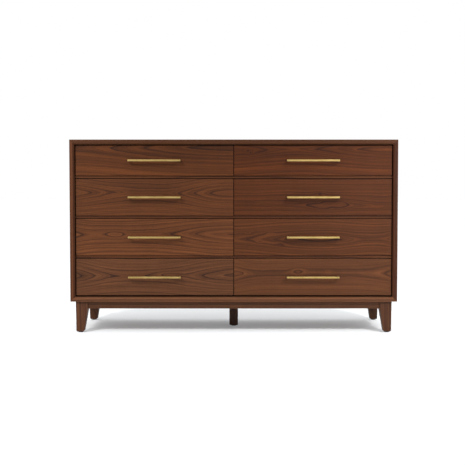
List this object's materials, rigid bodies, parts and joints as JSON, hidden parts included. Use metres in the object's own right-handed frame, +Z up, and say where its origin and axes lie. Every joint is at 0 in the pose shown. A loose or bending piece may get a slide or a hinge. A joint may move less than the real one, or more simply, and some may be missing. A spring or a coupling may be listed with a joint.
{
  "type": "dresser with drawers",
  "caption": "Wide walnut dresser with recessed drawer fronts in two columns, brass bar pulls, a mitred case and a leg frame with tapered legs.",
  "frame": {"origin": "on the floor, at the middle of the footprint, pulls included", "axes": "+X to the right as seen from the front, +Y to the back, +Z up; the drawers open towards -Y"},
  "size_m": [1.524, 0.504, 0.9],
  "materials": {
    "walnut_case": "walnut, mitred solid panels with a satin clear coat",
    "walnut_fronts": "flat-sawn walnut drawer fronts with a satin clear coat",
    "walnut_base": "solid walnut legs and rails with a satin clear coat",
    "walnut_plywood": "walnut-faced plywood, matt",
    "drawer_box_wood": "pale hardwood drawer boxes and plywood bottoms, thin matt lacquer",
    "brushed_brass": "brushed along the bar, satin",
    "zinc_steel": "bright zinc plating",
    "glide_nylon": "dark nylon glides, matt"
  },
  "bodies": {
    "case": {"top_panel": "walnut_case", "bottom_panel": "walnut_case", "left_side_panel": "walnut_case", "right_side_panel": "walnut_case", "back_panel": "walnut_plywood", "centre_divider": "walnut_case", "upper_front_rail": "walnut_case", "middle_front_rail": "walnut_case", "lower_front_rail": "walnut_case", "case_slide_members": "zinc_steel", "case_screws": "zinc_steel", "base_front_rail": "walnut_base", "base_rear_rail": "walnut_base", "base_cross_rails": "walnut_base", "front_left_leg": "walnut_base", "front_right_leg": "walnut_base", "rear_left_leg": "walnut_base", "rear_right_leg": "walnut_base", "centre_leg": "walnut_base", "leg_glides": "glide_nylon"},
    "drawer_left_1": {"drawer_left_1_front": "walnut_fronts", "drawer_left_1_box": "drawer_box_wood", "drawer_left_1_pull": "brushed_brass", "drawer_left_1_slide_members": "zinc_steel"},
    "ball_cages_left_1": {"drawer_left_1_ball_cages": "zinc_steel"},
    "drawer_left_2": {"drawer_left_2_front": "walnut_fronts", "drawer_left_2_box": "drawer_box_wood", "drawer_left_2_pull": "brushed_brass", "drawer_left_2_slide_members": "zinc_steel"},
    "ball_cages_left_2": {"drawer_left_2_ball_cages": "zinc_steel"},
    "drawer_left_3": {"drawer_left_3_front": "walnut_fronts", "drawer_left_3_box": "drawer_box_wood", "drawer_left_3_pull": "brushed_brass", "drawer_left_3_slide_members": "zinc_steel"},
    "ball_cages_left_3": {"drawer_left_3_ball_cages": "zinc_steel"},
    "drawer_left_4": {"drawer_left_4_front": "walnut_fronts", "drawer_left_4_box": "drawer_box_wood", "drawer_left_4_pull": "brushed_brass", "drawer_left_4_slide_members": "zinc_steel"},
    "ball_cages_left_4": {"drawer_left_4_ball_cages": "zinc_steel"},
    "drawer_right_1": {"drawer_right_1_front": "walnut_fronts", "drawer_right_1_box": "drawer_box_wood", "drawer_right_1_pull": "brushed_brass", "drawer_right_1_slide_members": "zinc_steel"},
    "ball_cages_right_1": {"drawer_right_1_ball_cages": "zinc_steel"},
    "drawer_right_2": {"drawer_right_2_front": "walnut_fronts", "drawer_right_2_box": "drawer_box_wood", "drawer_right_2_pull": "brushed_brass", "drawer_right_2_slide_members": "zinc_steel"},
    "ball_cages_right_2": {"drawer_right_2_ball_cages": "zinc_steel"},
    "drawer_right_3": {"drawer_right_3_front": "walnut_fronts", "drawer_right_3_box": "drawer_box_wood", "drawer_right_3_pull": "brushed_brass", "drawer_right_3_slide_members": "zinc_steel"},
    "ball_cages_right_3": {"drawer_right_3_ball_cages": "zinc_steel"},
    "drawer_right_4": {"drawer_right_4_front": "walnut_fronts", "drawer_right_4_box": "drawer_box_wood", "drawer_right_4_pull": "brushed_brass", "drawer_right_4_slide_members": "zinc_steel"},
    "ball_cages_right_4": {"drawer_right_4_ball_cages": "zinc_steel"}
  },
  "joints": [
    {"name": "drawer_left_1_slide", "type": "slide", "parent": "case", "child": "drawer_left_1", "axis": [0, -1, 0], "range_m": [0, 0.3]},
    {"name": "ball_cages_left_1_roll", "type": "slide", "parent": "case", "child": "ball_cages_left_1", "axis": [0, -1, 0], "range_m": [0, 0.15]},
    {"name": "drawer_left_2_slide", "type": "slide", "parent": "case", "child": "drawer_left_2", "axis": [0, -1, 0], "range_m": [0, 0.3]},
    {"name": "ball_cages_left_2_roll", "type": "slide", "parent": "case", "child": "ball_cages_left_2", "axis": [0, -1, 0], "range_m": [0, 0.15]},
    {"name": "drawer_left_3_slide", "type": "slide", "parent": "case", "child": "drawer_left_3", "axis": [0, -1, 0], "range_m": [0, 0.3]},
    {"name": "ball_cages_left_3_roll", "type": "slide", "parent": "case", "child": "ball_cages_left_3", "axis": [0, -1, 0], "range_m": [0, 0.15]},
    {"name": "drawer_left_4_slide", "type": "slide", "parent": "case", "child": "drawer_left_4", "axis": [0, -1, 0], "range_m": [0, 0.3]},
    {"name": "ball_cages_left_4_roll", "type": "slide", "parent": "case", "child": "ball_cages_left_4", "axis": [0, -1, 0], "range_m": [0, 0.15]},
    {"name": "drawer_right_1_slide", "type": "slide", "parent": "case", "child": "drawer_right_1", "axis": [0, -1, 0], "range_m": [0, 0.3]},
    {"name": "ball_cages_right_1_roll", "type": "slide", "parent": "case", "child": "ball_cages_right_1", "axis": [0, -1, 0], "range_m": [0, 0.15]},
    {"name": "drawer_right_2_slide", "type": "slide", "parent": "case", "child": "drawer_right_2", "axis": [0, -1, 0], "range_m": [0, 0.3]},
    {"name": "ball_cages_right_2_roll", "type": "slide", "parent": "case", "child": "ball_cages_right_2", "axis": [0, -1, 0], "range_m": [0, 0.15]},
    {"name": "drawer_right_3_slide", "type": "slide", "parent": "case", "child": "drawer_right_3", "axis": [0, -1, 0], "range_m": [0, 0.3]},
    {"name": "ball_cages_right_3_roll", "type": "slide", "parent": "case", "child": "ball_cages_right_3", "axis": [0, -1, 0], "range_m": [0, 0.15]},
    {"name": "drawer_right_4_slide", "type": "slide", "parent": "case", "child": "drawer_right_4", "axis": [0, -1, 0], "range_m": [0, 0.3]},
    {"name": "ball_cages_right_4_roll", "type": "slide", "parent": "case", "child": "ball_cages_right_4", "axis": [0, -1, 0], "range_m": [0, 0.15]}
  ],
  "couplings": [
    {"joint": "ball_cages_left_1_roll", "follows": "drawer_left_1_slide", "ratio": 0.5},
    {"joint": "ball_cages_left_2_roll", "follows": "drawer_left_2_slide", "ratio": 0.5},
    {"joint": "ball_cages_left_3_roll", "follows": "drawer_left_3_slide", "ratio": 0.5},
    {"joint": "ball_cages_left_4_roll", "follows": "drawer_left_4_slide", "ratio": 0.5},
    {"joint": "ball_cages_right_1_roll", "follows": "drawer_right_1_slide", "ratio": 0.5},
    {"joint": "ball_cages_right_2_roll", "follows": "drawer_right_2_slide", "ratio": 0.5},
    {"joint": "ball_cages_right_3_roll", "follows": "drawer_right_3_slide", "ratio": 0.5},
    {"joint": "ball_cages_right_4_roll", "follows": "drawer_right_4_slide", "ratio": 0.5}
  ]
}
